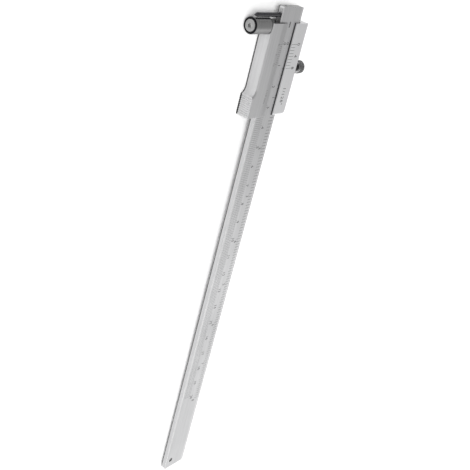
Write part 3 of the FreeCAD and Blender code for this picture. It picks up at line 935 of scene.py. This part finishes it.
@dataclass(frozen=True)
class Lettering:
    """Engraved figures of one size."""

    height: float
    depth: float = 0.03
    proud: float = 0.012
    weight: float = 0.0
    spacing: float = 1.0

    def mesh(self, text: str, place: Triple, fill: bpy.types.Material,
             tilt: float = 0.0) -> bpy.types.Mesh:
        """Make one word or number.

        Args:
            text: What is engraved.
            place: Middle of the text on its surface, in mm.
            fill: The material of the figures.
            tilt: Turn of the surface about X, in radians.

        Returns:
            The text as a mesh in the frame's coordinates.
        """
        curve = bpy.data.curves.new("figures", "FONT")
        curve.body = text
        curve.size = 1.0
        curve.align_x = "CENTER"
        curve.align_y = "CENTER"
        curve.resolution_u = 3
        curve.extrude = 0.5
        curve.offset = self.weight
        curve.space_character = self.spacing
        letters = bpy.data.objects.new("figures", curve)
        bpy.context.scene.collection.objects.link(letters)
        graph = bpy.context.evaluated_depsgraph_get()
        graph.update()
        mesh = bpy.data.meshes.new_from_object(letters.evaluated_get(graph))
        bpy.data.objects.remove(letters)
        bpy.data.curves.remove(curve)
        tall = max(v.co.y for v in mesh.vertices) - min(v.co.y for v in mesh.vertices)
        middle = (max(v.co.y for v in mesh.vertices) + min(v.co.y for v in mesh.vertices)) / 2
        scale = self.height * MM / tall
        centre = Matrix.Translation((0.0, -middle, 0.0))
        size = Matrix.Diagonal((scale, scale, self.depth * MM, 1.0))
        sunk = Matrix.Translation((0.0, 0.0, (self.proud - self.depth / 2) * MM))
        turn = Matrix.Rotation(tilt, 4, "X")
        move = Matrix.Translation(Vector(place) * MM)
        mesh.transform(move @ turn @ sunk @ size @ centre)
        mesh.materials.clear()
        mesh.materials.append(fill)
        return mesh


@dataclass(frozen=True)
class LineRow:
    """One row of evenly spaced engraved lines, in mm."""

    name: str
    count: int
    pitch: float
    start: Triple
    side: float
    width: float
    short: float
    step: float
    every: tuple[int, int, int]
    fill: bpy.types.Material
    tilt: float = 0.0

    def mesh(self, marks: MarkTree) -> bpy.types.Mesh:
        """Engrave the row.

        Args:
            marks: The tree that makes the lines.

        Returns:
            The lines as a mesh.
        """
        return from_nodes(self.name, marks.tree, {
            "Count": self.count,
            "Pitch": self.pitch * MM,
            "Start": tuple(c * MM for c in self.start),
            "Tilt": self.tilt,
            "Side": self.side,
            "Width": self.width * MM,
            "Depth": LINE_DEPTH * MM,
            "Short": self.short * MM,
            "Step": self.step * MM,
            "First Every": float(self.every[0]),
            "Second Every": float(self.every[1]),
            "Third Every": float(self.every[2]),
            "Fill": self.fill,
        })


@dataclass(frozen=True)
class BeamScales:
    """The metric and the inch scale along the beam."""

    finishes: Finishes
    marks: MarkTree
    zero: float = -13.4
    face: float = 6.25
    near_edge: float = -6.3
    bevel_line: float = 6.18
    metric_width: float = 0.1
    inch_width: float = 0.17
    centimetres: int = 20
    inches: int = 8
    sixteenths: int = 16
    metric_short: float = 4.75
    metric_step: float = 0.22
    inch_short: float = 2.75
    inch_step: float = 0.14
    figures_after: float = 1.1
    figure_height: float = 1.75
    metric_figures: float = -0.12
    inch_figures: float = 2.15
    unit_place: tuple[float, float] = (-20.9, -0.1)
    unit_height: float = 0.9
    unit_weight: float = 0.04

    def rows(self) -> list[LineRow]:
        """List the rows of lines.

        Returns:
            The metric and the inch row.
        """
        level = self.face + LINE_SINK
        fill = self.finishes.fill
        metric = LineRow(
            "metric_lines", 10 * self.centimetres + 1, 1.0, (self.zero, self.near_edge, level),
            1.0, self.metric_width, self.metric_short, self.metric_step, (5, 10, 10), fill)
        inch = LineRow(
            "inch_lines", self.sixteenths * self.inches + 1, INCH / self.sixteenths,
            (self.zero, self.bevel_line, level), -1.0, self.inch_width, self.inch_short,
            self.inch_step, (2, 4, 8), fill)
        return [metric, inch]

    def figures(self) -> list[bpy.types.Mesh]:
        """Engrave the numbers of both scales and the unit.

        Returns:
            One mesh for each word.
        """
        style = Lettering(self.figure_height)
        fill = self.finishes.fill
        made = []
        for row, count, pitch in ((self.metric_figures, self.centimetres, 10.0),
                                  (self.inch_figures, self.inches, INCH)):
            for number in range(count + 1):
                place = (self.zero + self.figures_after + number * pitch, row, self.face)
                made.append(style.mesh(str(number), place, fill))
        unit = Lettering(self.unit_height, weight=self.unit_weight)
        made.append(unit.mesh("mm", (*self.unit_place, self.face), fill))
        return made

    def build(self) -> None:
        """Engrave both scales and their numbers."""
        rows = self.rows()
        whole = joined("beam_scale_lines", [row.mesh(self.marks) for row in rows])
        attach(whole, Body.BEAM.value)
        log.info("beam_scale_lines: %d lines", sum(row.count for row in rows))

        words = self.figures()
        numbers = joined("beam_numbers", words)
        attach(numbers, Body.BEAM.value)
        log.info("beam_numbers: %d words", len(words))


@dataclass(frozen=True)
class SliderVerniers:
    """The metric and the inch vernier on the slider."""

    finishes: Finishes
    marks: MarkTree
    zero: float = -12.2
    top: float = 7.25
    line_width: float = 0.13
    metric_pitch: float = 9.0 / 10
    metric_short: float = 1.9
    metric_step: float = 0.4
    bevel_foot: tuple[float, float] = (-2.06, 6.56)
    bevel_tilt: float = -math.atan2(0.7, 4.25)
    metric_figures: tuple[float, float] = (3.45, 1.2)
    metric_label: tuple[float, float, float] = (11.8, 3.3, 1.3)
    inch_edge: float = 3.96
    inch_pitch: float = 7 / 16 * INCH / 8
    inch_short: float = 3.1
    inch_step: float = 0.35
    inch_figures: tuple[float, float] = (9.3, 1.9)
    inch_label: tuple[float, float, float] = (12.4, 7.6, 2.0)
    label_spacing: float = 1.2

    def on_bevel(self, run: float) -> tuple[float, float]:
        """Find a place on the bevel of the metric strip.

        Args:
            run: Distance up the bevel from its foot in mm.

        Returns:
            Y and Z of the place.
        """
        foot_y, foot_z = self.bevel_foot
        return (foot_y - run * math.cos(self.bevel_tilt), foot_z - run * math.sin(self.bevel_tilt))

    def rows(self) -> list[LineRow]:
        """List the rows of lines.

        Returns:
            The inch and the metric row.
        """
        foot_y, foot_z = self.bevel_foot
        start = (self.zero, foot_y - math.sin(self.bevel_tilt) * LINE_SINK,
                 foot_z + math.cos(self.bevel_tilt) * LINE_SINK)
        inch = LineRow(
            "inch_vernier", 9, self.inch_pitch, (self.zero, self.inch_edge, self.top + LINE_SINK),
            1.0, self.line_width, self.inch_short, self.inch_step, (4, 8, 8), self.finishes.fill)
        metric = LineRow(
            "metric_vernier", 11, self.metric_pitch, start, -1.0, self.line_width,
            self.metric_short, self.metric_step, (5, 10, 999), self.finishes.worn_fill,
            self.bevel_tilt)
        return [inch, metric]

    def figures(self) -> list[bpy.types.Mesh]:
        """Engrave the numbers and labels of both verniers.

        Returns:
            One mesh for each word.
        """
        made = []
        fill = self.finishes.fill
        across, height = self.inch_figures
        for number in (0, 4, 8):
            place = (self.zero + number * self.inch_pitch, across, self.top)
            made.append(Lettering(height).mesh(str(number), place, fill))
        along, across, height = self.inch_label
        style = Lettering(height, spacing=self.label_spacing)
        made.append(style.mesh('1/128"', (along, across, self.top), fill))

        worn = self.finishes.worn_fill
        run, height = self.metric_figures
        for number in (0, 5, 10):
            place = (self.zero + number * self.metric_pitch, *self.on_bevel(run))
            made.append(Lettering(height).mesh(str(number), place, worn, self.bevel_tilt))
        along, run, height = self.metric_label
        place = (along, *self.on_bevel(run))
        made.append(Lettering(height).mesh("1/10 mm", place, worn, self.bevel_tilt))
        return made

    def build(self) -> None:
        """Engrave both verniers."""
        rows = self.rows()
        whole = joined("vernier_lines", [row.mesh(self.marks) for row in rows])
        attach(whole, Body.SLIDER.value)
        log.info("vernier_lines: %d lines", sum(row.count for row in rows))

        words = self.figures()
        numbers = joined("vernier_numbers", words)
        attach(numbers, Body.SLIDER.value)
        log.info("vernier_numbers: %d words", len(words))


@dataclass(frozen=True)
class Studio:
    """Floor, lights, surroundings and camera. Lengths are in mm."""

    rest_edge: float = 21.65
    stop_tip: tuple[float, float] = (233.075, 2.05)
    table_reach: float = 40000.0
    focal_length: float = 60.74
    place: Triple = (-85.31, -292.19, 208.09)
    right: Triple = (-0.23157, 0.63987, 0.73276)
    up: Triple = (-0.87149, 0.19826, -0.44854)
    back: Triple = (-0.43229, -0.74246, 0.51174)
    daylight: float = 2.2
    daylight_spread: float = 30.0
    daylight_from: Triple = (-0.12, -0.64, 0.75)
    glow_tops: tuple[float, float] = (1.6, 3.0)
    glow_along: tuple[tuple[float, float], ...] = (
        (-0.35, 0.62), (0.05, 0.64), (0.167, 0.68), (0.234, 0.76), (0.333, 0.88),
        (0.39, 1.1), (0.45, 1.5), (0.52, 1.4), (0.65, 1.38))
    glow_up: tuple[tuple[float, float], ...] = (
        (0.03, 1.6), (0.05, 0.5), (0.137, 0.6), (0.27, 0.76), (0.42, 0.97), (0.56, 1.0), (1.0, 1.0))

    def floor(self) -> None:
        """Lay the table top under the slider's back and the far end of the beam."""
        tip_x, tip_z = self.stop_tip
        slope = tip_z / (tip_x - self.rest_edge)
        reach = self.table_reach
        corners = []
        for x, y in ((-reach, -reach), (reach, -reach), (reach, reach), (-reach, reach)):
            corners.append((x * MM, y * MM, (x - self.rest_edge) * slope * MM))
        mesh = bpy.data.meshes.new("table_top")
        mesh.from_pydata(corners, [], [(0, 1, 2, 3)])
        mesh.materials.append(TableFinish().build())
        top = plain_object("table_top", mesh)

    def light(self) -> None:
        """Light the table from the front, softly enough to leave only narrow shadows."""
        lit = bpy.data.collections.new("lit_table")
        lit.objects.link(bpy.data.objects["table_top"])
        lamp = bpy.data.lights.new("soft_daylight", "SUN")
        lamp.energy = self.daylight
        lamp.angle = math.radians(self.daylight_spread)
        hung = bpy.data.objects.new("soft_daylight", lamp)
        hung.rotation_euler = Vector(self.daylight_from).to_track_quat("Z", "Y").to_euler()
        bpy.context.scene.collection.objects.link(hung)
        hung.light_linking.receiver_collection = lit

    def surroundings(self) -> None:
        """Fill the room with soft light that grows towards the beam's far end."""
        world = bpy.data.worlds.new("studio")
        bpy.context.scene.world = world
        world.use_nodes = True
        tree = Tree(world.node_tree)
        backdrop = world.node_tree.nodes["Background"]
        backdrop.inputs["Color"].default_value = (1.0, 1.0, 1.0, 1.0)
        way = tree.split(tree.add("ShaderNodeTexCoord").outputs["Generated"])
        along = tree.ramp(way.outputs["X"], self.glow_tops[0], *self.glow_along)
        height = tree.ramp(way.outputs["Z"], self.glow_tops[1], *self.glow_up)
        tree.wire(tree.maths("MULTIPLY", along, height), backdrop.inputs["Strength"])

    def camera(self) -> None:
        """Set up the camera where the photograph was taken from."""
        lens = bpy.data.cameras.new("camera")
        lens.sensor_width = 36.0
        lens.sensor_fit = "HORIZONTAL"
        lens.lens = self.focal_length
        lens.clip_start = 0.01
        lens.clip_end = 200.0
        eye = bpy.data.objects.new("camera", lens)
        turn = Matrix((self.right, self.up, self.back)).transposed()
        eye.matrix_world = Matrix.Translation(Vector(self.place) * MM) @ turn.to_4x4()
        bpy.context.scene.collection.objects.link(eye)
        bpy.context.scene.camera = eye

    def build(self) -> None:
        """Build the whole setting."""
        self.floor()
        self.light()
        self.surroundings()
        self.camera()
        bpy.context.scene.view_settings.view_transform = "Standard"
        log.info("studio ready")


def main() -> None:
    """Build the looks of the gauge, piece by piece."""
    logging.basicConfig(level=logging.INFO, format="%(name)s: %(message)s", stream=sys.stdout)
    finishes = Finishes(SurfaceEffects())
    finishes.dress()
    marks = MarkTree()
    BeamScales(finishes, marks).build()
    SliderVerniers(finishes, marks).build()
    Studio().build()


if __name__ == "__main__":
    main()
